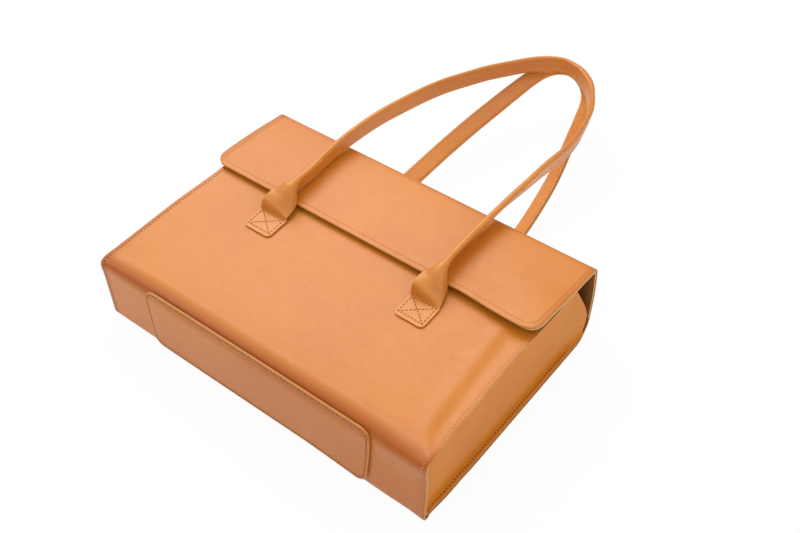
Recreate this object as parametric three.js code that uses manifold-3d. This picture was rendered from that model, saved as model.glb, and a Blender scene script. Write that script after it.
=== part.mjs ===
// Leather laptop bag with a fold-over flap and two long sewn handles, lying on its back.
// X runs across the bag, Y from its base to its handles, Z up through its depth. Millimetres.
import * as THREE from 'three';
import { mergeVertices } from 'three/addons/utils/BufferGeometryUtils.js';
import Module from 'manifold-3d';

const wasm = await Module();
wasm.setup();

// Body: a front and base cut in one hide, lapped onto the back at the lower edge.
const BAG_WIDTH = 400;
const BAG_HEIGHT = 270;
const BASE_DEPTH = 77.5;
const TOP_DEPTH = 88.5;
const FRONT_TOP = 245;
const FRONT_SLOPE = 0.082;
const FRONT_FOLD = 11;
const BACK_FOLD = 6;
const BACK_LIFT = 4.9;
const BACK_CURVE = 27;
const LAP_START = 12;
const LAP_END = 26;
const LAP_RUN = 2;
const LAP_STEP = 40;

// Leather and the seats between pieces.
const LEATHER = 2.2;
const LINING = 1.8;
const SEAT_GAP = 0.3;
const LAYER_GAP = 0.2;
const MITRE_LIMIT = 0.3;
const TILT_SPAN = 6;

// Gussets: a wall set in from the edges, with flanges turned out to the seams.
const GUSSET_WALL = 2;
const GUSSET_INSET = 9;
const GUSSET_TOP = 238;
const GUSSET_CROWN = { y: 266, z: 76 };
const GUSSET_BACK_STOP = 0.1;
const FLANGE = 2;
const SEAM_MARGIN = 0.5;

// Flap: strip over the top, a crease, and a drop over the front.
const HINGE_ANGLE = -Math.PI / 4;
const HINGE_GAP = 0.4;
const CREASE_DEPTH = 91.5;
const CREASE_LEG = 8;
const CREASE_RISE = 1;
const FLAP_EDGE = 165;
const FLAP_EDGE_DEPTH = 93;
const FLAP_BULGE = { y: 214, z: 98 };
const FLAP_CORNER = 16;

// Base patch and stiffener board.
const PATCH_WIDTH = 273;
const PATCH_OFFSET = 1.5;
const PATCH_LOW = 3;
const PATCH_HIGH = 73;
const PATCH_THICKNESS = 2;
const PATCH_CORNER = 13;
const BOARD_THICKNESS = 2;
const BOARD_LOW = 12;
const BOARD_HIGH = 64;
const BOARD_CORNER = 3;

// Padded laptop divider and the facing inside the front's top edge.
const SIDE_CLEARANCE = 0.4;
const DIVIDER_THICKNESS = 5;
const DIVIDER_DEPTH = 46;
const DIVIDER_LOW = 14;
const DIVIDER_HIGH = 226;
const DIVIDER_CORNER = 12;
const FACING_LOW = 172;
const FACING_SETBACK = 2;
const FACING_THICKNESS = 1.6;

// Handle tabs and their inside backers.
const HANDLE_OFFSET = -6;
const TAB_SPREAD = 97;
const TAB_WIDTH = 33.5;
const TAB_LOW = 118;
const TAB_HIGH = 150;
const TAB_CORNER = 5;
const BACKER_MARGIN = 4;
const BACKER_THICKNESS = 1.6;

// Handles: a leather strip folded lengthwise over a filler and sewn along its open edge.
const STRAP_LEATHER = 1.8;
const STRAP_FULL = 6.2;
const STRAP_PRESSED = 4.4;
const STRAP_HEIGHT = 16.2;
const STRAP_SEAM_GAP = 0.2;
const FILLER_RADIUS = 1;
const FILLER_SIDES = 6;
const ROOT_GAP = 0.4;
const STATION = 16;
const ROOT_STATION = 7;
const ROOT_REACH = 90;
const FLAT_FOLD = 1e-3;

// How the strips change, by the distance walked from a tab.
const FRONT_FOLDING = { from: 4, to: 75 };
const FRONT_FILLED = 85;
const REAR_SWELLING = { from: 125, to: 190 };
const REAR_LYING = 90;
const REAR_LEANING = { from: 120, to: 220, degrees: 35 };
const REAR_TURNING = { from: 290, to: 430, degrees: 55 };
const REAR_FILLED = 200;

// Magnetic snaps behind the flap.
const SNAP_SPREAD = 55;
const SNAP_LINE = 186;
const SNAP_RADIUS = 9;
const SNAP_PROUD = 0.8;
const STEM_RADIUS = 4.5;
const STEM_CLEARANCE = 0.3;
const WASHER_THICKNESS = 1;
const ROUND_SIDES = 20;

// Fineness of curves, and how far cuts run past what they cut.
const CURVE_STEPS = 6;
const FRONT_STEPS = 12;
const FLAP_STEPS = 8;
const CROWN_STEPS = 10;
const ROUTE_STEPS = 800;
const WELD = 1e-4;
const CUT_DEPTH = 40;
const CUT_MARGIN = 5;

const HALF_WIDTH = BAG_WIDTH / 2;
const INSIDE_HALF = HALF_WIDTH - GUSSET_INSET - GUSSET_WALL - SIDE_CLEARANCE;
const SIDES = [
  { side: 'left', sign: -1 },
  { side: 'right', sign: 1 },
];

// Half of each handle's route as [half spread, y, z], from a tab to the top of the loop.
const FRONT_ROUTE = [
  [97, TAB_HIGH + ROOT_GAP, 87.8], [97, 154.5, 89.2], [97, 163, 98], [97, 172, 108], [97, 182, 115.3],
  [97, 195, 120], [97.3, 212, 122], [97.6, 235, 121.3], [97.5, 262, 118.8], [95.3, 318, 111.8],
  [93.3, 358, 105.6], [87.9, 416, 96.3], [74.2, 474, 85.4], [53.7, 521, 78.8], [30.2, 549.5, 77.2],
  [0, 563, 76.8],
];
const REAR_ROUTE = [
  [97, TAB_HIGH + ROOT_GAP, 2.4], [97, 160, 2.4], [94, 190, 2.4], [88, 240, 2.4], [82.5, 285, 2.8],
  [79, 315, 5], [76, 340, 8], [70.3, 380, 18.5], [64.3, 420, 28.3], [53.2, 464.5, 40], [42.5, 506, 49],
  [36, 546, 52.5], [25, 565, 53.5], [12, 573, 54], [0, 576, 54],
];

const leather = new THREE.MeshStandardMaterial({ color: 0xd98c4c, roughness: 0.45, metalness: 0 });
const strapLeather = new THREE.MeshStandardMaterial({ color: 0xcf8040, roughness: 0.42, metalness: 0 });
const lining = new THREE.MeshStandardMaterial({ color: 0xb98352, roughness: 0.8, metalness: 0 });
const board = new THREE.MeshStandardMaterial({ color: 0x5d4a38, roughness: 0.85, metalness: 0 });
const felt = new THREE.MeshStandardMaterial({ color: 0x8d8373, roughness: 0.95, metalness: 0 });
const steel = new THREE.MeshStandardMaterial({ color: 0xb9bcc0, roughness: 0.3, metalness: 0.9 });

const bag = new THREE.Group();

function addPiece(name, geometry, material) {
  const piece = new THREE.Mesh(geometry, material);
  piece.name = name;
  bag.add(piece);
  return piece;
}

function point(y, z) {
  return new THREE.Vector2(y, z);
}

// A profile in Y and Z, swept across the bag from one X to another.
function alongX(shape, fromX, toX) {
  const geometry = new THREE.ExtrudeGeometry(shape, { depth: toX - fromX, bevelEnabled: false });
  const axes = new THREE.Matrix4().makeBasis(
    new THREE.Vector3(0, 1, 0),
    new THREE.Vector3(0, 0, 1),
    new THREE.Vector3(1, 0, 0),
  );
  return geometry.applyMatrix4(axes).translate(fromX, 0, 0);
}

// The line moved sideways to its left, with mitred corners.
function offsetLine(line, distance) {
  return line.map((here, index) => {
    const before = line[Math.max(index - 1, 0)];
    const after = line[Math.min(index + 1, line.length - 1)];
    const arrive = index > 0 ? here.clone().sub(before) : after.clone().sub(here);
    const leave = index < line.length - 1 ? after.clone().sub(here) : here.clone().sub(before);
    leave.normalize();
    const along = arrive.normalize().add(leave).normalize();
    const stretch = distance / Math.max(along.dot(leave), MITRE_LIMIT);
    return point(here.x - along.y * stretch, here.y + along.x * stretch);
  });
}

// A sheet whose outer face follows the line, its thickness on the line's left.
function sheetShape(line, inset, thickness) {
  const outer = offsetLine(line, inset);
  const inner = offsetLine(line, inset + thickness);
  return new THREE.Shape(outer.concat(inner.reverse()));
}

// A rectangle with one corner radius along its low edge and another along its high edge.
function roundedShape(low, high, { lowCorner, highCorner }) {
  const quarter = Math.PI / 2;
  const corners = [
    { x: high.x - lowCorner, y: low.y + lowCorner, radius: lowCorner, from: -quarter },
    { x: high.x - highCorner, y: high.y - highCorner, radius: highCorner, from: 0 },
    { x: low.x + highCorner, y: high.y - highCorner, radius: highCorner, from: quarter },
    { x: low.x + lowCorner, y: low.y + lowCorner, radius: lowCorner, from: Math.PI },
  ];
  const shape = new THREE.Shape();
  shape.moveTo(low.x + lowCorner, low.y);
  corners.forEach(({ x, y, radius, from }) => {
    if (radius > 0) shape.absarc(x, y, radius, from, from + quarter, false);
    else shape.lineTo(x, y);
  });
  return shape;
}

function plate(shape, thickness) {
  const settings = { depth: thickness, bevelEnabled: false, curveSegments: CURVE_STEPS };
  return new THREE.ExtrudeGeometry(shape, settings);
}

// Solids, and what is cut out of them.
function toSolid(geometry) {
  const bare = geometry.index ? geometry.toNonIndexed() : geometry.clone();
  bare.deleteAttribute('normal');
  bare.deleteAttribute('uv');
  const merged = mergeVertices(bare, WELD);
  const vertProperties = new Float32Array(merged.attributes.position.array);
  const triVerts = new Uint32Array(merged.index.array);
  return new wasm.Manifold(new wasm.Mesh({ numProp: 3, vertProperties, triVerts }));
}

function toGeometry(solid) {
  const result = solid.getMesh();
  const geometry = new THREE.BufferGeometry();
  geometry.setAttribute('position', new THREE.BufferAttribute(Float32Array.from(result.vertProperties), 3));
  geometry.setIndex(new THREE.BufferAttribute(Uint32Array.from(result.triVerts), 1));
  geometry.computeVertexNormals();
  return geometry;
}

function cutAway(geometry, cutters) {
  return toGeometry(cutters.reduce((solid, cutter) => solid.subtract(toSolid(cutter)), toSolid(geometry)));
}

// The front's outer face as a gentle curve, read by height up the bag.
const foldDepth = BASE_DEPTH + FRONT_SLOPE * FRONT_FOLD;
const frontCrown = foldDepth + FRONT_SLOPE * (FRONT_TOP - FRONT_FOLD) / 2;

function frontDepth(y) {
  const t = (y - FRONT_FOLD) / (FRONT_TOP - FRONT_FOLD);
  return (1 - t) ** 2 * foldDepth + 2 * t * (1 - t) * frontCrown + t ** 2 * TOP_DEPTH;
}

function tiltOf(depth, y) {
  return Math.atan((depth(y + TILT_SPAN / 2) - depth(y - TILT_SPAN / 2)) / TILT_SPAN);
}

function frontLine(fromY, toY) {
  return Array.from({ length: FRONT_STEPS + 1 }, (_, step) => {
    const y = fromY + (toY - fromY) * step / FRONT_STEPS;
    return point(y, frontDepth(y));
  });
}

function foldToBase(path, backFold, backDepth) {
  path.quadraticCurveTo(0, BASE_DEPTH, 0, BASE_DEPTH - FRONT_FOLD);
  path.lineTo(0, backDepth + backFold);
  path.quadraticCurveTo(0, backDepth, backFold, backDepth);
}

// Front and base in one hide.
function frontBaseLine() {
  const path = new THREE.Path();
  path.moveTo(FRONT_FOLD, foldDepth);
  foldToBase(path, BACK_FOLD, 0);
  path.lineTo(LAP_END, 0);
  return frontLine(FRONT_TOP, FRONT_FOLD).slice(0, -1).concat(path.getPoints(CURVE_STEPS));
}

// Back panel up to the flap's bend, and the flap from there to its free edge.
const curveCentre = point(BAG_HEIGHT - BACK_CURVE, BACK_LIFT + BACK_CURVE);

function backLine() {
  const lapDepth = LEATHER + SEAT_GAP;
  const path = new THREE.Path();
  path.moveTo(LAP_START, lapDepth);
  path.lineTo(LAP_END + LAP_RUN, lapDepth);
  path.bezierCurveTo(
    LAP_END + LAP_STEP / 2, lapDepth,
    LAP_END + LAP_STEP / 2, BACK_LIFT,
    LAP_END + LAP_STEP, BACK_LIFT,
  );
  path.lineTo(curveCentre.x, BACK_LIFT);
  path.absarc(curveCentre.x, curveCentre.y, BACK_CURVE, -Math.PI / 2, HINGE_ANGLE, false);
  return path.getPoints(CURVE_STEPS);
}

function flapLine() {
  const path = new THREE.Path();
  path.absarc(curveCentre.x, curveCentre.y, BACK_CURVE, HINGE_ANGLE + HINGE_GAP / BACK_CURVE, 0, false);
  path.lineTo(BAG_HEIGHT, CREASE_DEPTH - CREASE_LEG);
  path.quadraticCurveTo(BAG_HEIGHT, CREASE_DEPTH, BAG_HEIGHT - CREASE_LEG, CREASE_DEPTH + CREASE_RISE);
  path.quadraticCurveTo(FLAP_BULGE.y, FLAP_BULGE.z, FLAP_EDGE, FLAP_EDGE_DEPTH);
  return path.getPoints(FLAP_STEPS);
}

function flapDepth(y) {
  const line = flapLine();
  const next = line.findIndex((here, index) => index > 0 && here.y > CREASE_DEPTH && here.x <= y);
  const [a, b] = [line[next - 1], line[next]];
  return THREE.MathUtils.mapLinear(y, a.x, b.x, a.y, b.y);
}

// What a rounded front corner of the flap leaves out.
function flapCornerCutter(sign) {
  const past = FLAP_CORNER + CUT_MARGIN;
  const shape = new THREE.Shape();
  shape.moveTo(-past, -past + FLAP_CORNER);
  shape.lineTo(-past, -past);
  shape.lineTo(FLAP_CORNER, -past);
  shape.lineTo(FLAP_CORNER, 0);
  shape.absarc(FLAP_CORNER, FLAP_CORNER, FLAP_CORNER, -Math.PI / 2, -Math.PI, true);
  shape.lineTo(-past, FLAP_CORNER);
  const cutter = plate(shape, CUT_DEPTH);
  if (sign > 0) cutter.rotateZ(Math.PI / 2);
  return cutter.translate(sign * HALF_WIDTH, FLAP_EDGE, FLAP_EDGE_DEPTH - CUT_DEPTH / 2);
}

// Gusset: a dished side with flanges along the front, base and back.
function gussetGeometry(sign) {
  const path = new THREE.Path();
  path.moveTo(FRONT_FOLD, foldDepth);
  foldToBase(path, BACK_FOLD, BACK_LIFT);
  path.lineTo(curveCentre.x, BACK_LIFT);
  const backStop = HINGE_ANGLE - GUSSET_BACK_STOP;
  path.absarc(curveCentre.x, curveCentre.y, BACK_CURVE, -Math.PI / 2, backStop, false);
  const wall = frontLine(GUSSET_TOP, FRONT_FOLD).slice(0, -1).concat(path.getPoints(CURVE_STEPS));

  const seat = LEATHER + SEAT_GAP;
  const rim = offsetLine(wall, seat);
  const crown = new THREE.QuadraticBezierCurve(rim.at(-1), point(GUSSET_CROWN.y, GUSSET_CROWN.z), rim[0]);
  const outline = new THREE.Shape(rim.concat(crown.getPoints(CROWN_STEPS).slice(1, -1)));

  const hollow = offsetLine(wall, seat + FLANGE);
  const beyond = BAG_HEIGHT + CUT_DEPTH;
  const open = [point(beyond, hollow.at(-1).y + CUT_DEPTH / 2), point(beyond, hollow[0].y)];
  const dish = new THREE.Shape(hollow.concat(open));

  const wallInner = HALF_WIDTH - GUSSET_INSET - GUSSET_WALL;
  const wallOuter = HALF_WIDTH - GUSSET_INSET;
  const edge = HALF_WIDTH - SEAM_MARGIN;
  const span = (from, to) => (sign > 0 ? [from, to] : [-to, -from]);
  const dishCutter = alongX(dish, ...span(wallOuter, HALF_WIDTH + CUT_MARGIN));
  return cutAway(alongX(outline, ...span(wallInner, edge)), [dishCutter]);
}

// Snap stud: a disc with a stem, its flat face at the origin and its stem along +Z.
function snapGeometry(stemLength) {
  const profile = [
    point(0, 0), point(SNAP_RADIUS, 0), point(SNAP_RADIUS, SNAP_PROUD), point(STEM_RADIUS, SNAP_PROUD),
    point(STEM_RADIUS, SNAP_PROUD + stemLength), point(0, SNAP_PROUD + stemLength),
  ];
  return new THREE.LatheGeometry(profile, ROUND_SIDES).rotateX(Math.PI / 2);
}

function washerGeometry() {
  const bore = STEM_RADIUS + STEM_CLEARANCE;
  const profile = [
    point(bore, 0), point(SNAP_RADIUS, 0), point(SNAP_RADIUS, WASHER_THICKNESS),
    point(bore, WASHER_THICKNESS), point(bore, 0),
  ];
  return new THREE.LatheGeometry(profile, ROUND_SIDES).rotateX(Math.PI / 2);
}

function stemHole(x, z) {
  const radius = STEM_RADIUS + STEM_CLEARANCE;
  const cutter = new THREE.CylinderGeometry(radius, radius, CUT_DEPTH, ROUND_SIDES);
  return cutter.rotateX(Math.PI / 2).translate(x, SNAP_LINE, z);
}

// Cross-section of the folded strip, with the fold at the top and its two edges hanging down.
function strapSection(fold, thickness, drop) {
  const halfStrip = TAB_WIDTH / 2;
  const radius = (thickness - STRAP_LEATHER) / 2;
  const lean = (radius - (STRAP_LEATHER + STRAP_SEAM_GAP) / 2) / (halfStrip - radius * Math.PI / 2);
  const fullTurn = Math.PI / 2 + lean;
  const bend = radius * fullTurn;
  const turn = Math.max(fold * fullTurn, FLAT_FOLD);
  const bendRadius = bend / turn;
  const middle = (w) => {
    const reach = Math.min(Math.abs(w), bend);
    const angle = reach / bendRadius;
    const rest = Math.abs(w) - reach;
    const side = bendRadius * Math.sin(angle) + rest * Math.cos(angle);
    const down = bendRadius * (1 - Math.cos(angle)) + rest * Math.sin(angle);
    return { at: point(Math.sign(w) * side, drop - down), angle: Math.sign(w) * angle };
  };
  const marks = [-halfStrip, -bend, -bend / 2, 0, bend / 2, bend, halfStrip];
  const face = (offset) => marks.map((w) => {
    const { at, angle } = middle(w);
    return point(at.x + Math.sin(angle) * offset, at.y + Math.cos(angle) * offset);
  });
  return face(STRAP_LEATHER / 2).concat(face(-STRAP_LEATHER / 2).reverse());
}

// Filler cord inside the fold.
function fillerSection(drop) {
  const depth = drop - (STRAP_FULL - STRAP_LEATHER) / 2;
  return Array.from({ length: FILLER_SIDES }, (_, corner) => {
    const angle = corner / FILLER_SIDES * Math.PI * 2;
    return point(FILLER_RADIUS * Math.sin(angle), depth + FILLER_RADIUS * Math.cos(angle));
  });
}

// Skin through rings of points, closed at both ends.
function loftGeometry(rings, section) {
  const count = section.length;
  const positions = rings.flat().flatMap((corner) => corner.toArray());
  const index = [];
  for (let ring = 0; ring + 1 < rings.length; ring += 1) {
    for (let side = 0; side < count; side += 1) {
      const a = ring * count + side;
      const b = ring * count + (side + 1) % count;
      index.push(a, a + count, b, b, a + count, b + count);
    }
  }
  const last = (rings.length - 1) * count;
  const caps = THREE.ShapeUtils.triangulateShape(section, []);
  caps.forEach(([a, b, c]) => index.push(a, c, b, last + a, last + b, last + c));
  const geometry = new THREE.BufferGeometry();
  geometry.setAttribute('position', new THREE.Float32BufferAttribute(positions, 3));
  geometry.setIndex(index);
  geometry.computeVertexNormals();
  return geometry;
}

function handleCurve(route) {
  const place = ([spread, y, z], sign) => new THREE.Vector3(HANDLE_OFFSET + sign * spread, y, z);
  const leftHalf = route.map((stop) => place(stop, -1));
  const rightHalf = route.slice(0, -1).reverse().map((stop) => place(stop, 1));
  return new THREE.CatmullRomCurve3(leftHalf.concat(rightHalf), false, 'centripetal');
}

// Distances along a handle, close together near its two roots.
function handleStations(length) {
  const half = [];
  let walked = 0;
  while (walked < length / 2) {
    half.push(walked);
    walked += walked < ROOT_REACH ? ROOT_STATION : STATION;
  }
  const mirrored = half.map((station) => length - station).reverse();
  return half.concat([length / 2], mirrored);
}

// A section carried along a handle: turned about its route, by its distance from the nearer root.
function sweepHandle(route, sectionAt, rollAt, trim) {
  const curve = handleCurve(route);
  curve.arcLengthDivisions = ROUTE_STEPS;
  const length = curve.getLength();
  const stations = handleStations(length).filter((walked) => walked >= trim && walked <= length - trim);
  let firstSection = null;
  const rings = stations.map((walked) => {
    const fromRoot = Math.min(walked, length - walked);
    const section = sectionAt(fromRoot);
    firstSection = firstSection ?? section;
    const along = curve.getTangentAt(walked / length);
    const crest = new THREE.Vector3(0, 0, 1).projectOnPlane(along).normalize();
    crest.applyAxisAngle(along, rollAt(fromRoot));
    const across = crest.clone().cross(along);
    const centre = curve.getPointAt(walked / length);
    return section.map(({ x, y }) => centre.clone().addScaledVector(across, x).addScaledVector(crest, y));
  });
  return loftGeometry(rings, firstSection);
}

// Body panels
const snapHoles = SIDES.map(({ sign }) => stemHole(sign * SNAP_SPREAD, frontDepth(SNAP_LINE)));
const frontBase = alongX(sheetShape(frontBaseLine(), 0, LEATHER), -HALF_WIDTH, HALF_WIDTH);
addPiece('front_base_panel', cutAway(frontBase, snapHoles), leather);
addPiece('back_panel', alongX(sheetShape(backLine(), 0, LEATHER), -HALF_WIDTH, HALF_WIDTH), leather);
SIDES.forEach(({ side, sign }) => addPiece(`${side}_gusset`, gussetGeometry(sign), leather));

// Base patch outside, stiffener board inside
const patchCorners = { lowCorner: PATCH_CORNER, highCorner: PATCH_CORNER };
const patchShape = roundedShape(
  point(-PATCH_WIDTH / 2, PATCH_LOW),
  point(PATCH_WIDTH / 2, PATCH_HIGH),
  patchCorners,
);
const patch = addPiece('base_patch', plate(patchShape, PATCH_THICKNESS).rotateX(Math.PI / 2), leather);
patch.position.set(PATCH_OFFSET, -SEAT_GAP, 0);
const boardCorners = { lowCorner: BOARD_CORNER, highCorner: BOARD_CORNER };
const boardShape = roundedShape(
  point(-INSIDE_HALF, BOARD_LOW),
  point(INSIDE_HALF, BOARD_HIGH),
  boardCorners,
);
const baseBoard = addPiece('base_board', plate(boardShape, BOARD_THICKNESS).rotateX(Math.PI / 2), board);
baseBoard.position.y = LEATHER + SEAT_GAP + BOARD_THICKNESS;

// Inside: facing, divider and tab backers
const facingLine = frontLine(FRONT_TOP - FACING_SETBACK, FACING_LOW);
const facingShape = sheetShape(facingLine, LEATHER + SEAT_GAP, FACING_THICKNESS);
addPiece('front_facing', cutAway(alongX(facingShape, -INSIDE_HALF, INSIDE_HALF), snapHoles), lining);
const dividerCorners = { lowCorner: DIVIDER_CORNER, highCorner: DIVIDER_CORNER };
const dividerShape = roundedShape(
  point(-INSIDE_HALF, DIVIDER_LOW),
  point(INSIDE_HALF, DIVIDER_HIGH),
  dividerCorners,
);
const divider = addPiece('laptop_divider', plate(dividerShape, DIVIDER_THICKNESS), felt);
divider.position.z = DIVIDER_DEPTH;

// Handle tabs outside each panel, with a backer inside
const tabShape = roundedShape(
  point(-TAB_WIDTH / 2, TAB_LOW - TAB_HIGH),
  point(TAB_WIDTH / 2, 0),
  { lowCorner: TAB_CORNER, highCorner: 0 },
);
const backerShape = roundedShape(
  point(-TAB_WIDTH / 2 - BACKER_MARGIN, TAB_LOW - TAB_HIGH - BACKER_MARGIN),
  point(TAB_WIDTH / 2 + BACKER_MARGIN, BACKER_MARGIN),
  { lowCorner: TAB_CORNER, highCorner: TAB_CORNER },
);
const tabMiddle = (TAB_LOW + TAB_HIGH) / 2;
const tabTilt = tiltOf(frontDepth, tabMiddle);
SIDES.forEach(({ side, sign }) => {
  const x = HANDLE_OFFSET + sign * TAB_SPREAD;
  const frontTab = addPiece(`front_tab_${side}`, plate(tabShape, LEATHER), leather);
  frontTab.position.set(x, TAB_HIGH, frontDepth(TAB_HIGH) + SEAT_GAP);
  frontTab.rotation.x = tabTilt;
  const frontBacker = addPiece(`front_tab_backer_${side}`, plate(backerShape, BACKER_THICKNESS), lining);
  frontBacker.position.set(x, TAB_HIGH, frontDepth(TAB_HIGH) - LEATHER - 2 * SEAT_GAP - BACKER_THICKNESS);
  frontBacker.rotation.x = tabTilt;
  const rearTab = addPiece(`rear_tab_${side}`, plate(tabShape, LEATHER), leather);
  rearTab.position.set(x, TAB_HIGH, BACK_LIFT - SEAT_GAP - LEATHER);
  const rearBacker = addPiece(`rear_tab_backer_${side}`, plate(backerShape, BACKER_THICKNESS), lining);
  rearBacker.position.set(x, TAB_HIGH, BACK_LIFT + LEATHER + SEAT_GAP);
});

// Flap in two layers, with the snaps that hold it to the front
const flapPath = flapLine();
const flapSpan = [-HALF_WIDTH, HALF_WIDTH];
const flapCorners = SIDES.map(({ sign }) => flapCornerCutter(sign));
const outerShape = sheetShape(flapPath, 0, LEATHER);
addPiece('flap_outer', cutAway(alongX(outerShape, ...flapSpan), flapCorners), leather);
const liningShape = sheetShape(flapPath, LEATHER + LAYER_GAP, LINING);
const flapHoles = SIDES.map(({ sign }) => stemHole(sign * SNAP_SPREAD, flapDepth(SNAP_LINE)));
addPiece('flap_lining', cutAway(alongX(liningShape, ...flapSpan), flapHoles.concat(flapCorners)), lining);
const flapUnderside = flapDepth(SNAP_LINE) - LEATHER - LAYER_GAP - LINING;
const panelDepth = frontDepth(SNAP_LINE);
SIDES.forEach(({ side, sign }) => {
  const x = sign * SNAP_SPREAD;
  const flapSnap = addPiece(`flap_snap_${side}`, snapGeometry(LINING), steel);
  flapSnap.position.set(x, SNAP_LINE, flapUnderside - SNAP_PROUD - SEAT_GAP);
  flapSnap.rotation.x = tiltOf(flapDepth, SNAP_LINE);
  const stem = LEATHER + FACING_THICKNESS + WASHER_THICKNESS + 3 * SEAT_GAP;
  const frontSnap = addPiece(`front_snap_${side}`, snapGeometry(stem), steel);
  frontSnap.position.set(x, SNAP_LINE, panelDepth + SNAP_PROUD + SEAT_GAP);
  frontSnap.rotation.x = Math.PI + tiltOf(frontDepth, SNAP_LINE);
  const washer = addPiece(`snap_washer_${side}`, washerGeometry(), steel);
  washer.position.set(x, SNAP_LINE, panelDepth - stem);
  washer.rotation.x = tiltOf(frontDepth, SNAP_LINE);
});

// Front handle: flat where it leaves its tabs, folding up over the flap's edge
const ease = (walked, { from, to }) => THREE.MathUtils.smoothstep(walked, from, to);
const frontSection = (walked) => strapSection(ease(walked, FRONT_FOLDING), STRAP_FULL, 0);
const upright = () => 0;
addPiece('front_handle_strap', sweepHandle(FRONT_ROUTE, frontSection, upright, 0), strapLeather);
const frontFiller = sweepHandle(FRONT_ROUTE, () => fillerSection(0), upright, FRONT_FILLED);
addPiece('front_handle_filler', frontFiller, felt);

// Rear handle: pressed flat under the back, then turning onto its edge as it rises
const rearDrop = (STRAP_HEIGHT - STRAP_LEATHER) / 2;
const rearSection = (walked) => {
  const thickness = STRAP_PRESSED + (STRAP_FULL - STRAP_PRESSED) * ease(walked, REAR_SWELLING);
  return strapSection(1, thickness, rearDrop);
};
const rearRoll = (walked) => {
  const lean = REAR_LEANING.degrees * ease(walked, REAR_LEANING);
  const turn = REAR_TURNING.degrees * ease(walked, REAR_TURNING);
  return THREE.MathUtils.degToRad(REAR_LYING + lean + turn);
};
addPiece('rear_handle_strap', sweepHandle(REAR_ROUTE, rearSection, rearRoll, 0), strapLeather);
const rearFiller = sweepHandle(REAR_ROUTE, () => fillerSection(rearDrop), rearRoll, REAR_FILLED);
addPiece('rear_handle_filler', rearFiller, felt);

// The origin is on the ground under the middle of the whole bag.
const extent = new THREE.Box3().setFromObject(bag, true);
bag.position.set(0, -(extent.min.y + extent.max.y) / 2, -extent.min.z);

export default bag;
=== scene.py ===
import math
import bpy
import numpy as np
from mathutils import Matrix, Vector


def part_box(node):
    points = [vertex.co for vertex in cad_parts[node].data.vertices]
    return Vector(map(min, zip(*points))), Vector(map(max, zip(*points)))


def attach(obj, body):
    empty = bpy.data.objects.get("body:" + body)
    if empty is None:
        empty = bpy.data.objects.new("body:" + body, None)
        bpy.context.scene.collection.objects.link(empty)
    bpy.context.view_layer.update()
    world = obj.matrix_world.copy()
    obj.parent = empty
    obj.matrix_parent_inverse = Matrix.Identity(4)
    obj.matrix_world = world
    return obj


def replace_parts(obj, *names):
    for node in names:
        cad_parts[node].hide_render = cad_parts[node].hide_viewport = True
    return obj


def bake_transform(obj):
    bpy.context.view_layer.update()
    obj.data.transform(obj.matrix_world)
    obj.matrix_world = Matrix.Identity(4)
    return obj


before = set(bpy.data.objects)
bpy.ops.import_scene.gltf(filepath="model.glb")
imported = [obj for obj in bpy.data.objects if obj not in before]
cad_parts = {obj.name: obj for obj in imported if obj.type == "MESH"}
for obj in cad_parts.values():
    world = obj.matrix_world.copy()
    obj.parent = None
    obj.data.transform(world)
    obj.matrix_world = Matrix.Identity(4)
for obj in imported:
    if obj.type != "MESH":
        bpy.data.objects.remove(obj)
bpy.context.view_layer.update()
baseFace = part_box("front_base_panel")[0].y * 1000  # the bag's own millimetres start at its base
print("frame loaded")


# Colours and nodes

def linearColour(code):
    parts = [int(code[i:i + 2], 16) / 255 for i in (0, 2, 4)]
    return [p / 12.92 if p <= 0.04045 else ((p + 0.055) / 1.055) ** 2.4 for p in parts] + [1]


def addNode(tree, kind, links=None, values=None, **settings):
    node = tree.nodes.new(kind)
    for name, value in settings.items():
        setattr(node, name, value)
    for name, value in (values or {}).items():
        node.inputs[name].default_value = value
    for name, source in (links or {}).items():
        tree.links.new(source, node.inputs[name])
    return node


def startMaterial(name, roughness, ior):
    material = bpy.data.materials.new(name)
    material.use_nodes = True
    tree = material.node_tree
    shader = tree.nodes["Principled BSDF"]
    shader.inputs["Roughness"].default_value = roughness
    shader.inputs["IOR"].default_value = ior
    objectPlace = addNode(tree, "ShaderNodeTexCoord").outputs["Object"]
    return material, tree, shader, objectPlace


def perMetre(millimetres):
    return 1000 / millimetres  # a texture's scale for a pattern of this size


# Vegetable-tanned cowhide, grain side out: an even tan with cloudy dye, fine pores and a satin wax finish.
# A deeper, more orange colour is mixed in by the "bend" attribute: where the leather is folded or worn along an edge,
# and as painted shade in folds, creases and across part of the base.
leatherLook = {
    "face": "d68023", "cloud": "ce781d", "bentAndShaded": "b45a06", "cloudSize": 90, "poreSize": 0.9, "creaseSize": 7,
    "roughness": 0.4, "ior": 1.5, "specular": 0.5,
}


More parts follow.
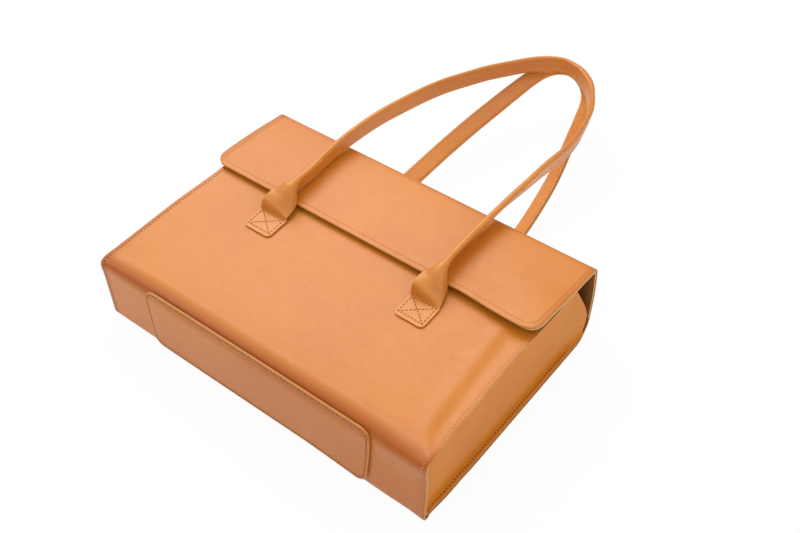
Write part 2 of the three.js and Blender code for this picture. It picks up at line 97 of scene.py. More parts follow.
def makeLeather(name, look):
    material, tree, shader, place = startMaterial(name, look["roughness"], look["ior"])
    shader.inputs["Specular IOR Level"].default_value = look["specular"]
    clouds = addNode(tree, "ShaderNodeTexNoise", {"Vector": place},
                     {"Scale": perMetre(look["cloudSize"]), "Detail": 4, "Roughness": 0.55})
    cloudShare = addNode(tree, "ShaderNodeMapRange", {"Value": clouds.outputs[0]},
                         {"From Min": 0.38, "From Max": 0.66, "To Max": 0.7})
    dyed = addNode(tree, "ShaderNodeMixRGB", {"Fac": cloudShare.outputs[0]},
                   {"Color1": linearColour(look["face"]), "Color2": linearColour(look["cloud"])})
    # The "bend" attribute is the share of the deeper colour: folded leather, and painted shade where a piece paints it
    # as shade.
    bend = addNode(tree, "ShaderNodeAttribute", attribute_name="bend")
    bentAndShaded = addNode(tree, "ShaderNodeMixRGB", {"Fac": bend.outputs["Fac"], "Color1": dyed.outputs[0]},
                   {"Color2": linearColour(look["bentAndShaded"])})
    tree.links.new(bentAndShaded.outputs[0], shader.inputs["Base Color"])
    # Pores are under a pixel in the render, so only a little of them is left in the roughness and the bump.
    pores = addNode(tree, "ShaderNodeTexVoronoi", {"Vector": place}, {"Scale": perMetre(look["poreSize"])})
    creases = addNode(tree, "ShaderNodeTexNoise", {"Vector": place},
                      {"Scale": perMetre(look["creaseSize"]), "Detail": 5, "Roughness": 0.6})
    grain = addNode(tree, "ShaderNodeMath", {0: pores.outputs["Distance"], 1: creases.outputs[0]}, operation="ADD")
    bump = addNode(tree, "ShaderNodeBump", {"Height": grain.outputs[0]}, {"Strength": 0.12, "Distance": 0.0003})
    tree.links.new(bump.outputs[0], shader.inputs["Normal"])
    wax = addNode(tree, "ShaderNodeMapRange", {"Value": creases.outputs[0]},
                  {"From Min": 0.3, "From Max": 0.7, "To Min": look["roughness"] - 0.05,
                   "To Max": look["roughness"] + 0.06})
    tree.links.new(wax.outputs[0], shader.inputs["Roughness"])
    return material


leather = makeLeather("vegetable tanned leather", leatherLook)
# Strap leather: the same leather as the hide, painted lighter and paler as painted light and painted sheen on the
# straps.
strapLeatherPaintedLighter = makeLeather("vegetable tanned strap leather painted lighter", dict(leatherLook, face="dd8c34", cloud="d3802a", specular=0.55))
# The gussets are softer leather with less wax on it.
sideLeather = makeLeather("vegetable tanned side leather", dict(leatherLook, face="da8626", cloud="d07c1e", roughness=0.5, specular=0.2))

# The same hide's cut edge, with pale fibres, and its flesh side, matt with a loose nap on the inside; the flesh side's
# dark, saturated brown is partly its own colour and partly painted shade for insides seen in deep shadow.
edgeLook = {"face": "d49c54", "dark": "bf853c", "fibreSize": 1.2, "roughness": 0.6, "ior": 1.5}
strapEdgeLook = {"face": "cc8838", "dark": "b87428", "fibreSize": 1.2, "roughness": 0.5, "ior": 1.5}
fleshAndShadeLook = {"face": "a8662a", "dark": "8a501e", "fibreSize": 2.2, "roughness": 0.9, "ior": 1.5}


def makeFibres(name, look):
    material, tree, shader, place = startMaterial(name, look["roughness"], look["ior"])
    shader.inputs["Specular IOR Level"].default_value = look.get("specular", 0.5)
    fibres = addNode(tree, "ShaderNodeTexNoise", {"Vector": place},
                     {"Scale": perMetre(look["fibreSize"]), "Detail": 6, "Roughness": 0.7})
    share = addNode(tree, "ShaderNodeMapRange", {"Value": fibres.outputs[0]}, {"From Min": 0.35, "From Max": 0.65})
    colour = addNode(tree, "ShaderNodeMixRGB", {"Fac": share.outputs[0]},
                     {"Color1": linearColour(look["face"]), "Color2": linearColour(look["dark"])})
    tree.links.new(colour.outputs[0], shader.inputs["Base Color"])
    bump = addNode(tree, "ShaderNodeBump", {"Height": fibres.outputs[0]}, {"Strength": 0.3, "Distance": 0.0004})
    tree.links.new(bump.outputs[0], shader.inputs["Normal"])
    return material


cutEdge = makeFibres("cut leather edge", edgeLook)
strapEdge = makeFibres("burnished strap edge", strapEdgeLook)
# The lining's cut edge is the same cut edge painted lighter, as painted light on an edge that faces away from the lamp.
liningEdgePaintedLighter = makeFibres("cut lining edge painted lighter", dict(edgeLook, face="e8bc80", dark="daa862"))
fleshSideAndPaintedShade = makeFibres("leather flesh side with painted shade", fleshAndShadeLook)

# Waxed polyester thread, twisted: a little yellower than the hide or close to it, with a soft shine.
amberThread = makeFibres("waxed amber thread", {"face": "f0a848", "dark": "de9638", "fibreSize": 0.8, "roughness": 0.5, "ior": 1.54})
hideThread = makeFibres("waxed thread in the hide's tan", {"face": "d07c22", "dark": "c2701a", "fibreSize": 0.8, "roughness": 0.5, "ior": 1.54})
tanThread = makeFibres("waxed tan thread", {"face": "d6893a", "dark": "c47628", "fibreSize": 0.8, "roughness": 0.5, "ior": 1.54})
# The awl holes beside it: dark, because light hardly gets in, or only a dimple where the thread fills them.
paleThread = makeFibres("waxed pale thread", {"face": "f4c482", "dark": "e6b26c", "fibreSize": 0.8, "roughness": 0.5, "ior": 1.54})
dimple = makeFibres("filled awl hole", {"face": "b86c22", "dark": "a05a14", "fibreSize": 0.8, "roughness": 0.8, "ior": 1.5})
closedHole = makeFibres("closed awl hole", {"face": "ca7a22", "dark": "bc6e1c", "fibreSize": 0.8, "roughness": 0.7, "ior": 1.5})
awlHole = makeFibres("awl hole", {"face": "6e3408", "dark": "502404", "fibreSize": 0.8, "roughness": 0.9, "ior": 1.5, "specular": 0.05})
# Pressed wool felt on the padded divider, and fibre board in the base: matt and speckled.
woolFelt = makeFibres("wool felt", {"face": "8d8373", "dark": "71685a", "fibreSize": 1.6, "roughness": 0.95, "ior": 1.5})
fibreBoard = makeFibres("fibre board", {"face": "6a5540", "dark": "513f2e", "fibreSize": 1.5, "roughness": 0.85, "ior": 1.5})

# Nickel-plated steel: a bright metal with fine tumbling marks in its gloss.
nickelLook = {"face": "c9c6bf", "markSize": 0.7, "roughness": 0.28}


def makeNickel(name, look):
    material, tree, shader, place = startMaterial(name, look["roughness"], 1.5)
    shader.inputs["Base Color"].default_value = linearColour(look["face"])
    shader.inputs["Metallic"].default_value = 1
    marks = addNode(tree, "ShaderNodeTexNoise", {"Vector": place}, {"Scale": perMetre(look["markSize"]), "Detail": 3})
    gloss = addNode(tree, "ShaderNodeMapRange", {"Value": marks.outputs[0]}, {"To Min": 0.2, "To Max": 0.38})
    tree.links.new(gloss.outputs[0], shader.inputs["Roughness"])
    return material


nickel = makeNickel("nickel plated steel", nickelLook)
print("materials made")


# Lines in y and z, read by the millimetre walked along them

def ease(low, high, value):
    t = np.clip((value - low) / (high - low), 0, 1)
    return t * t * (3 - 2 * t)


def bowed(start, control, end):
    t = np.linspace(0, 1, 40)[:, None]
    return (1 - t) ** 2 * np.array(start) + 2 * t * (1 - t) * np.array(control) + t ** 2 * np.array(end)


def arcOf(centre, radius, fromDegrees, toDegrees):
    turn = np.radians(np.linspace(fromDegrees, toDegrees, 40))
    return np.array(centre) + radius * np.stack([np.cos(turn), np.sin(turn)], axis=1)


def traceLine(*parts):
    points = np.concatenate([np.atleast_2d(np.array(part, float)) for part in parts])
    steps = np.linalg.norm(np.diff(points, axis=0), axis=1)
    points = points[np.r_[True, steps > 1e-6]]
    walked = np.r_[0, np.cumsum(np.linalg.norm(np.diff(points, axis=0), axis=1))]
    return {"walked": walked, "points": points, "length": walked[-1]}


def readLine(line, walked):
    return [np.interp(walked, line["walked"], line["points"][:, axis]) for axis in range(line["points"].shape[1])]


def walkedTo(line, place):
    return line["walked"][np.argmin(np.linalg.norm(line["points"] - np.array(place), axis=1))]


# Sheets of leather

def toFrame(points):
    return (points + [0, baseFace, 0]) / 1000


def clearSelection():
    bpy.ops.object.select_all(action="DESELECT")


def applyModifier(piece, kind, **settings):
    bpy.context.view_layer.objects.active = piece
    modifier = piece.modifiers.new(kind.lower(), kind)
    for name, value in settings.items():
        setattr(modifier, name, value)
    bpy.ops.object.modifier_apply(modifier=modifier.name)


skiving = {"width": 5, "left": 0.55}  # leather pared thinner along the flap's front edge


def thicken(piece, thickness, offset, skins, **skive):
    for skin in skins:
        piece.data.materials.append(skin)
    applyModifier(piece, "SOLIDIFY", thickness=thickness / 1000, offset=offset, use_even_offset=True,
                  material_offset=1, material_offset_rim=2, **skive)
    applyModifier(piece, "BEVEL", width=0.00035, segments=2, limit_method="ANGLE", angle_limit=math.radians(60))
    clearSelection()
    piece.select_set(True)
    bpy.ops.object.shade_smooth_by_angle(angle=math.radians(45))


def skiveEdge(piece, columns, rows, length):
    group = piece.vertex_groups.new(name="skive")
    for index in range(len(piece.data.vertices)):
        walked = index // (columns + 1) / rows * length
        group.add([index], float(ease(0, skiving["width"], walked)), "REPLACE")


def paintBendAndShade(piece, bendAt):
    places = np.empty(len(piece.data.vertices) * 3)
    piece.data.vertices.foreach_get("co", places)
    places = places.reshape(-1, 3) * 1000 - [0, baseFace, 0]
    attribute = piece.data.attributes.new("bend", "FLOAT", "POINT")
    attribute.data.foreach_set("value", bendAt(*places.T).astype(np.float32))


def layGrid(name, surface, layout, columns, rows):
    clearSelection()
    bpy.ops.mesh.primitive_grid_add(x_subdivisions=columns, y_subdivisions=rows, size=2)
    piece = bpy.context.object
    piece.name = piece.data.name = name
    flat = np.empty(len(piece.data.vertices) * 3)
    piece.data.vertices.foreach_get("co", flat)
    across, along = (flat.reshape(-1, 3)[:, :2].T + 1) / 2
    piece.data.vertices.foreach_set("co", toFrame(surface(*layout(across, along))).ravel())
    piece.data.update()
    return piece


def lift(surface, x, walked, height):
    reach = 0.4
    across = surface(x + reach, walked) - surface(x - reach, walked)
    along = surface(x, walked + reach) - surface(x, walked - reach)
    normal = np.cross(across, along)
    normal /= np.linalg.norm(normal, axis=1)[:, None]
    return surface(x, walked) + normal * np.reshape(height, (-1, 1)), normal


def roundedHalf(half, corner, toEdge):
    inside = np.clip(corner - toEdge, 0, corner)
    return half - (corner - np.sqrt(corner ** 2 - inside ** 2))


# Sewing: beads of thread between pairs of awl holes, along a path on a sheet

def modelBead(radii):
    clearSelection()
    bpy.ops.mesh.primitive_uv_sphere_add(segments=6, ring_count=5, radius=1, scale=radii)
    bead = bpy.context.object
    bpy.ops.object.transform_apply(location=True, rotation=True, scale=True)
    shape = np.array([v.co[:] for v in bead.data.vertices])
    faces = [list(p.vertices) for p in bead.data.polygons]
    bpy.data.objects.remove(bead)
    return shape, faces


threadBead = modelBead((1.4, 0.42, 0.3))
holeBead = modelBead((1, 0.8, 0.2))
stitching = {"pitch": 4.0, "openHole": 0.85, "dimple": 0.55}


def sew(name, seams, thread, hole, side=1):
    vertices, faces, slots = [], [], []
    count = 0
    for surface, path, height in seams:
        line = traceLine(np.array(path, float))
        dense = np.linspace(0, line["length"], int(line["length"] / 0.5) + 2)
        x, walked = readLine(line, dense)
        places, _ = lift(surface, x, walked, np.full(len(x), height))
        run = np.r_[0, np.cumsum(np.linalg.norm(np.diff(places, axis=0), axis=1))]
        stitches = max(int(round(run[-1] / stitching["pitch"])), 1)
        step = run[-1] / stitches
        for bead, slot, shift in ((threadBead, 0, 0.5), (holeBead, 1, 0.0)):
            at = (np.arange(stitches + slot) + shift) * step
            mark = np.interp(at, run, dense)
            x, walked = readLine(line, mark)
            centre, normal = lift(surface, x, walked, np.full(len(x), height))
            x, walked = readLine(line, np.clip(mark + 0.3, 0, line["length"]))
            ahead = lift(surface, x, walked, np.full(len(x), height))[0]
            x, walked = readLine(line, np.clip(mark - 0.3, 0, line["length"]))
            along = ahead - lift(surface, x, walked, np.full(len(x), height))[0]
            along /= np.linalg.norm(along, axis=1)[:, None]
            normal = normal * side
            across = np.cross(normal, along)
            shape = bead[0] * (stitching["openHole" if hole is awlHole else "dimple"] if slot else 1)
            placed = (centre[:, None] + along[:, None] * shape[:, :1] + across[:, None] * shape[:, 1:2]
                      + normal[:, None] * shape[:, 2:])
            vertices.append(placed.reshape(-1, 3))
            for stitch in range(len(centre)):
                faces.extend([[corner + count for corner in face] for face in bead[1]])
                slots.extend([slot] * len(bead[1]))
                count += len(shape)
    mesh = bpy.data.meshes.new(name)
    mesh.from_pydata(toFrame(np.concatenate(vertices)).tolist(), [], faces)
    mesh.materials.append(thread)
    mesh.materials.append(hole)
    mesh.polygons.foreach_set("material_index", slots)
    piece = bpy.data.objects.new(name, mesh)
    bpy.context.scene.collection.objects.link(piece)
    clearSelection()
    piece.select_set(True)
    bpy.context.view_layer.objects.active = piece
    bpy.ops.object.mode_set(mode="EDIT")
    bpy.ops.mesh.select_all(action="SELECT")
    bpy.ops.mesh.normals_make_consistent(inside=False)
    bpy.ops.object.mode_set(mode="OBJECT")
    bpy.ops.object.shade_smooth()
    return piece


# Front and base: one hide, folded at the lower front edge and lapped under the back
frontPanel = {
    "half": 200, "columns": 110, "rows": 170, "thickness": 2.2, "baseBulge": 0.6, "baseSpread": 2.8, "foldCrown": 3.4, "endFold": 2.8, "crown": 1.5,
    "ridge": 1.4, "valley": 0.75, "edgeLift": 1.6, "pinchRight": 2.4, "pinchLeft": 3.0, "tuckLeft": 3.5, "edgeWave": 0.9, "seam": 4.2,
    "topTuck": 4.5, "lapTaper": 0.03,
}


def frontDepth(y):
    t = (y - 11) / 234
    return (1 - t) ** 2 * 78.402 + 2 * t * (1 - t) * 87.996 + t ** 2 * 88.5


frontHeights = np.linspace(17, 245, 90)
frontLine = traceLine(
    [[26, 0], [6, 0]], bowed((6, 0), (0, 0), (0, 6)), [[0, 6], [0, 64]],
    bowed((0, 64), (0, 77.4), (17, 79.05)), np.stack([frontHeights, frontDepth(frontHeights)], axis=1),
)


foldMiddle = walkedTo(frontLine, (4.25, 74.5))


def frontSurface(x, walked):
    y, z = readLine(frontLine, walked)
    middle = 1 - (x / 200) ** 2
    sharper = frontPanel["endFold"] * ease(130, 200, np.abs(x)) * np.exp(-((walked - foldMiddle) / 9) ** 2)
    y, z = y - 0.82 * sharper, z + 0.57 * sharper
    onFront = ease(60, 77, z)
    inward = np.sin(np.pi * np.clip((y - 4) / 241, 0, 1)) * onFront
    spread = frontPanel["baseSpread"] * ease(50, 160, x) * (1 + 0.3 * ease(180, 200, x)) * (1 - ease(0, 50, z))
    bulge = (frontPanel["baseBulge"] * middle + spread) * (1 - ease(0, 45, y))
    crown = frontPanel["crown"] * middle * np.sin(np.pi * np.clip(y / 115, 0, 1)) ** 2 * onFront
    crown = crown + frontPanel["foldCrown"] * middle * ease(30, 77, z) * (1 - ease(10, 100, y))
    ridgeLine = np.interp(y, [0, 8, 16, 28, 45, 70, 120, 180], [203, 195, 187, 179, 175.5, 173.5, 170, 166])
    fade = onFront * (1 - ease(150, 182, y))
    ridge = frontPanel["ridge"] * np.exp(-((x - ridgeLine) / 8) ** 2)
    valley = frontPanel["valley"] * np.exp(-((x - ridgeLine - 15) / 8.5) ** 2) * ease(5, 30, y)
    edgeLift = frontPanel["edgeLift"] * ease(186, 200, x)
    z = z + crown + fade * (ridge - valley + edgeLift)
    wave = frontPanel["edgeWave"] * np.sin((y - 30) / 9) * np.exp(-((y - 58) / 32) ** 2) * ease(175, 200, x)
    x = x - onFront * wave - frontPanel["pinchRight"] * inward * ease(130, 200, x)
    x = x + (frontPanel["pinchLeft"] * inward + frontPanel["tuckLeft"] * ease(90, 165, y) * onFront) * ease(120, 200, -x)
    x = x - np.sign(x) * frontPanel["topTuck"] * ease(198, 245, y) * ease(165, 200, np.abs(x)) * onFront
    x = x * (1 - frontPanel["lapTaper"] * ease(4, 26, y) * (1 - ease(1, 4, z)))
    return np.stack([x, y - bulge, z], axis=1)


# The lower front fold is darker partly as folded leather and partly as painted shade where it turns from the light; the
# side edges are darker, more on the left; the base is painted darker towards its right end as painted shade.
def frontBendAndShade(x, y, z):
    fold = np.exp(-(((z - 76) / 8) ** 2 + ((y - 4) / (8 + 5 * ease(40, 120, x))) ** 2))
    seams = ease(190, 196, np.abs(x)) * np.where(x < 0, 0.6, 0.3)
    baseShadeToRight = 0.35 * ease(-100, 200, x) * (1 - ease(60, 74, z)) * (1 - ease(5, 20, y))
    return np.clip(1.0 * fold + seams + baseShadeToRight, 0, 1)


def frontLayout(across, along):
    return frontPanel["half"] * (2 * across - 1), along * frontLine["length"]


frontHide = layGrid("front_hide", frontSurface, frontLayout, frontPanel["columns"], frontPanel["rows"])
thicken(frontHide, frontPanel["thickness"], -1, [leather, fleshSideAndPaintedShade, cutEdge])
paintBendAndShade(frontHide, frontBendAndShade)
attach(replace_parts(frontHide, "front_base_panel"), "shell")
seamX = frontPanel["half"] - frontPanel["seam"]
seamFrom = walkedTo(frontLine, (0, 6))
for name, sign, thread, hole in (("front_left_seams", -1, tanThread, awlHole), ("front_right_seams", 1, amberThread, dimple)):
    frontSeams = sew(name, [(frontSurface, [[sign * seamX, seamFrom], [sign * seamX, frontLine["length"] - 3]], 0)], thread, hole)
    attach(frontSeams, "shell")
print("front made")


# Back and flap: one hide over the top, creased, its free corners rounded
flapHide = {
    "half": 200, "columns": 110, "rows": 230, "thickness": 2.2, "corner": 16, "seam": 5.6, "edgeSag": 4.4,
    "cornerLift": 6, "cornerDrop": 5, "gapLift": 2.4, "leftFlare": 4, "stripBulge": 2.2, "endSwell": 2, "flangeSpread": 1.3,
    "liningGap": 0.35, "lining": 1.8, "liningInset": 0.3,
}
flapLine = traceLine(
    bowed((165, 93), (214, 96.4), (264, 92.3)), bowed((264, 92.3), (270, 91.4), (270, 85)), [[270, 85], [270, 31.9]],
    arcOf((243, 31.9), 27, 0, -90), [[243, 4.9], [66, 4.9]], bowed((66, 4.9), (50, 4.9), (46, 3.7)),
    bowed((46, 3.7), (42, 2.5), (28, 2.5)), [[28, 2.5], [3, 2.5]],
)


def flapSurface(x, walked):
    y, z = readLine(flapLine, walked)
    atEnds = ease(135, 188, np.abs(x))
    sag = flapHide["edgeSag"] * atEnds * (1 - ease(12, 40, z)) * ease(28, 72, y)
    swell = flapHide["endSwell"] * atEnds * np.exp(-((z - 15) / 8) ** 2) * ease(240, 262, y)
    strip = flapHide["stripBulge"] * np.sin(np.pi * np.clip((z - 26) / 62, 0, 1)) * ease(255, 268, y)
    onDrop = ease(86, 91, z)
    lifted = flapHide["cornerLift"] * ease(120, 200, x) * (1 - ease(165, 236, y)) * onDrop
    lifted = lifted + flapHide["gapLift"] * np.exp(-((x - 118) / 32) ** 2) * (1 - ease(165, 200, y)) * onDrop
    dropped = flapHide["cornerDrop"] * ease(110, 190, x) * (1 - ease(165, 215, y)) * onDrop
    flared = flapHide["leftFlare"] * ease(120, 200, -x) * np.clip((255 - y) / 85, 0, 1) * onDrop
    spread = np.sign(x) * flapHide["flangeSpread"] * ease(150, 200, np.abs(x)) * (1 - ease(5, 14, z)) * ease(4, 30, y)
    return np.stack([x - flared + spread, y + strip + swell - dropped, z - sag + lifted], axis=1)


def flapLayout(across, along):
    walked = along * flapLine["length"]
    half = roundedHalf(flapHide["half"], flapHide["corner"], walked)
    return half * (2 * across - 1), walked


def flapBend(x, y, z):
    crease = np.exp(-(((z - 90) / 6) ** 2 + ((y - 269) / 5) ** 2))
    rim = ease(192, 198, np.abs(x)) * 0.4
    return np.clip(0.55 * crease + rim, 0, 1)


backHide = layGrid("back_and_flap_hide", flapSurface, flapLayout, flapHide["columns"], flapHide["rows"])
skiveEdge(backHide, flapHide["columns"], flapHide["rows"], flapLine["length"])
thicken(backHide, flapHide["thickness"], -1, [leather, fleshSideAndPaintedShade, cutEdge], vertex_group="skive", thickness_vertex_group=skiving["left"])
backHide.vertex_groups.clear()
paintBendAndShade(backHide, flapBend)
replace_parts(backHide, "back_panel", "flap_outer")
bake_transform(backHide)

liningDepth = flapHide["thickness"] + flapHide["liningGap"]
liningLength = walkedTo(flapLine, (270, 31.9)) + 6


def liningSurface(x, walked):
    pared = (1 - skiving["left"]) * (1 - ease(0, skiving["width"], walked)) * flapHide["thickness"]
    return lift(flapSurface, x, np.clip(walked, 0.6, None), pared - liningDepth)[0]


def liningLayout(across, along):
    walked = along * liningLength
    half = roundedHalf(flapHide["half"] - flapHide["liningInset"], flapHide["corner"], walked)
    return half * (2 * across - 1), walked


flapLining = layGrid("flap_lining_hide", liningSurface, liningLayout, 90, 90)
skiveEdge(flapLining, 90, 90, liningLength)
thicken(flapLining, flapHide["lining"], -1, [leather, fleshSideAndPaintedShade, liningEdgePaintedLighter], vertex_group="skive", thickness_vertex_group=skiving["left"])
flapLining.vertex_groups.clear()
paintBendAndShade(flapLining, flapBend)
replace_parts(flapLining, "flap_lining")
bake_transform(flapLining)

seamAt = flapHide["half"] - flapHide["seam"]
turn = flapHide["corner"] - flapHide["seam"]
cornerTurn = np.radians(np.linspace(180, 270, 14))
leftCorner = np.stack([-seamAt + turn + turn * np.cos(cornerTurn), flapHide["corner"] + turn * np.sin(cornerTurn)], axis=1)
rightCorner = (leftCorner * [-1, 1])[::-1]
backEnd = flapLine["length"] - 3
flapSeamPath = np.concatenate([[[-seamAt, backEnd]], leftCorner, rightCorner, [[seamAt, backEnd]]])
flapSeams = sew("flap_seams", [(flapSurface, flapSeamPath, 0)], hideThread, closedHole)
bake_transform(flapSeams)
insideSeamPath = np.concatenate([[[-seamAt, liningLength - 3]], leftCorner, rightCorner, [[seamAt, liningLength - 3]]])
insideSeams = sew("flap_inside_seams", [(flapSurface, insideSeamPath, -liningDepth - flapHide["lining"])], tanThread, awlHole, side=-1)
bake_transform(insideSeams)
print("back and flap made")


# Gussets: side walls with stitched flanges turned out along the back and base, flaring at the free top edge
gusset = {
    "edge": 199.4, "wall": 2.0, "columns": 60, "rows": 28, "base": 4.5, "gap": 0.08,
    "backInset": 3.8, "topInset": 0.6, "frontInset": 1.3, "baseInset": 3.2,
    "top": [[3, 252], [7, 257.5], [13, 261.5], [21, 264], [30, 264.2], [40, 261.6], [52, 256.6], [70, 248], [86, 240]],
}
frontWalk = np.linspace(walkedTo(frontLine, (0, 64)), frontLine["length"], 260)
backWalk = np.linspace(walkedTo(flapLine, (262, 12.8)), flapLine["length"], 200)


def edgeOf(surface, x, walked):
    points = surface(np.full(len(walked), float(x)), walked)
    return points[np.argsort(points[:, 1])].T


def gussetSurface(sign):
    frontX, frontY, frontZ = edgeOf(frontSurface, sign * 199.5, frontWalk)
    backX, backY, backZ = edgeOf(flapSurface, sign * 197, backWalk)
    baseX, baseY, baseZ = frontSurface(np.full(60, sign * 199.5), np.linspace(walkedTo(frontLine, (0, 6)), frontWalk[0], 60)).T
    topZ, topY = np.array(gusset["top"]).T

    def surface(alongShare, depthShare):
        y = gusset["base"] + alongShare * 230
        for _ in range(4):
            back = np.interp(y, backY, backZ) + flapHide["thickness"] + gusset["gap"] + gusset["wall"]
            front = np.interp(y, frontY, frontZ) - frontPanel["thickness"] - gusset["gap"]
            z = back + (front - back) * depthShare
            base = gusset["base"] + np.interp(z, baseZ, baseY)
            y = base + alongShare * (np.interp(z, topZ, topY) - base)
        toFront = ease(0.1, 0.9 - 0.5 * ease(0.6, 1, alongShare), depthShare)
        bulged = gusset["frontInset"] + (gusset["topInset"] - gusset["frontInset"]) * ease(0.7, 1, alongShare)
        back = gusset["backInset"] + (gusset["topInset"] - gusset["backInset"]) * ease(0.86, 1, alongShare)
        inset = back * (1 - toFront) + bulged * toFront
        inset = np.maximum(inset, gusset["baseInset"] * (1 - ease(0, 0.08, alongShare)))
        pinch = (199.5 - np.interp(y, frontY, np.abs(frontX))) * ease(0.2, 1, depthShare)
        return np.stack([gusset["edge"] - inset - pinch, y, z], axis=1)
    return surface


def makeGusset(name, sign, node):
    wall = layGrid(name, gussetSurface(sign), lambda across, along: (across, along), gusset["columns"], gusset["rows"])
    clearSelection()
    wall.select_set(True)
    bpy.context.view_layer.objects.active = wall
    columns = gusset["columns"] + 1
    bpy.ops.object.mode_set(mode="EDIT")
    bpy.ops.mesh.select_mode(type="VERT")
    bpy.ops.mesh.select_all(action="DESELECT")
    bpy.ops.object.mode_set(mode="OBJECT")
    for index, vertex in enumerate(wall.data.vertices):
        row, column = divmod(index, columns)
        vertex.select = row == 0 or column == 0
    bpy.ops.object.mode_set(mode="EDIT")
    bpy.ops.mesh.select_mode(type="EDGE")
    bpy.ops.mesh.extrude_edges_move()
    bpy.ops.transform.resize(value=(0, 1, 1), center_override=(gusset["edge"] / 1000, 0, 0))
    bpy.ops.object.mode_set(mode="OBJECT")
    for vertex in wall.data.vertices:  # the flange along the back reaches as far out as the back does
        if vertex.select:
            x, y, z = vertex.co * 1000
            vertex.co.x += flapHide["flangeSpread"] / 1000 * (1 - ease(8, 16, z)) * ease(4, 30, y - baseFace)
    bpy.ops.object.mode_set(mode="EDIT")
    if sign < 0:
        bpy.ops.mesh.select_all(action="SELECT")
        bpy.ops.transform.mirror(constraint_axis=(True, False, False), center_override=(0, 0, 0))
    bpy.ops.mesh.select_all(action="SELECT")
    bpy.ops.mesh.normals_make_consistent(inside=False)
    bpy.ops.object.mode_set(mode="OBJECT")
    if sum(face.normal.x * face.area for face in wall.data.polygons) * sign < 0:
        wall.data.flip_normals()
    applyModifier(wall, "BEVEL", width=0.0016, segments=3, limit_method="ANGLE", angle_limit=math.radians(50))
    thicken(wall, gusset["wall"], -1, [sideLeather, fleshSideAndPaintedShade, cutEdge])
    # Painted shade: the gusset is darker in the crease into the back flange and at its base end.
    paintBendAndShade(wall, lambda x, y, z: 0.08 * np.exp(-((z - 5) / 4) ** 2) + 0.3 * np.exp(-((y - 4) / 4) ** 2))
    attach(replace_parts(wall, node), "shell")
    return wall


rightGusset = makeGusset("right_gusset_hide", 1, "right_gusset")
leftGusset = makeGusset("left_gusset_hide", -1, "left_gusset")
flangeHeight = flapHide["thickness"] + gusset["gap"] + gusset["wall"]


def flangeSurface(x, walked):
    return flapSurface(x, walked) + [0, 0, flangeHeight]


def flangeSide(x, walked):
    return flangeSurface(x, flapLine["length"] - walked)


flangeSeams = sew("flange_seams", [
    (flangeSide, [[sign * 196.4, 6], [sign * 196.4, walkedTo(flapLine, (3, 2.5)) - walkedTo(flapLine, (252, 6.5))]], 0)
    for sign in (-1, 1)
], tanThread, awlHole)
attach(flangeSeams, "shell")
print("gussets made")


# Base patch, sewn over the base
patch = {"left": -136.5, "right": 139.7, "skew": 3, "low": 3, "high": 76, "corner": 13, "thickness": 2.0, "seat": 0.3, "seam": 3.2, "columns": 90, "rows": 30}
baseStart = walkedTo(frontLine, (0, 6)) - 6


def patchSurface(x, height):
    flat = np.clip(height, 7, 70.5)
    points = lift(frontSurface, x, baseStart + flat, np.full(len(x), patch["seat"] + patch["thickness"]))[0]
    return points + np.outer(height - flat, [0, 0, 1])


def skewed(x, height):
    return x + patch["skew"] * ease(60, patch["right"], x) * (height - 40) / 36


def patchLayout(across, along):
    height = patch["low"] + (patch["high"] - patch["low"]) * (0.5 - 0.5 * np.cos(np.pi * along))
    toEdge = np.minimum(height - patch["low"], patch["high"] - height)
    half = roundedHalf((patch["right"] - patch["left"]) / 2, patch["corner"], toEdge)
    return skewed((patch["left"] + patch["right"]) / 2 + half * (2 * across - 1), height), height


basePatch = layGrid("base_patch_hide", patchSurface, patchLayout, patch["columns"], patch["rows"])
thicken(basePatch, patch["thickness"], -1, [leather, fleshSideAndPaintedShade, strapEdge])
# Painted shade: the patch is darker towards its right end, like the base beside it; it is also darker along its top
# edge.
paintBendAndShade(basePatch, lambda x, y, z: 0.3 * ease(68, 73, z) + 0.05 + 0.25 * ease(-100, 160, x))
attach(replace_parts(basePatch, "base_patch"), "shell")


def roundedPath(left, right, low, high, corner):
    turns = np.radians(np.linspace(0, 90, 8))
    path = []
    for x, y, start in ((right - corner, high - corner, 0), (left + corner, high - corner, 90),
                        (left + corner, low + corner, 180), (right - corner, low + corner, 270)):
        path += [[x + corner * math.cos(a + math.radians(start)), y + corner * math.sin(a + math.radians(start))] for a in turns]
    return path + path[:1]


patchPath = roundedPath(patch["left"] + patch["seam"], patch["right"] - patch["seam"], patch["low"] + patch["seam"],
                        patch["high"] - patch["seam"], patch["corner"] - patch["seam"])
patchPath = [[skewed(x, height), height] for x, height in patchPath]
patchSeams = sew("patch_seams", [(patchSurface, patchPath, 0.12)], tanThread, awlHole)
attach(patchSeams, "shell")
print("base patch made")


# Handles: each one strip, flat and box-stitched at its two tabs, folded lengthwise in between
handle = {
    "strip": 33.5, "thickness": 1.9, "full": 6.2, "pressed": 4.4, "gap": 0.4, "tab": 28, "corner": 5, "widening": 1.3,
    "columns": 34, "rows": 340, "seam": 2.9, "boxHalf": 13.8, "boxLow": 4.4, "boxHigh": 26.1,
    "foldFrom": 2, "foldTo": 54, "seamFrom": 40, "turnedFrom": 8, "turnedTo": 50, "centring": 7.2, "offFold": 2.6, "offShift": 4.5,
}
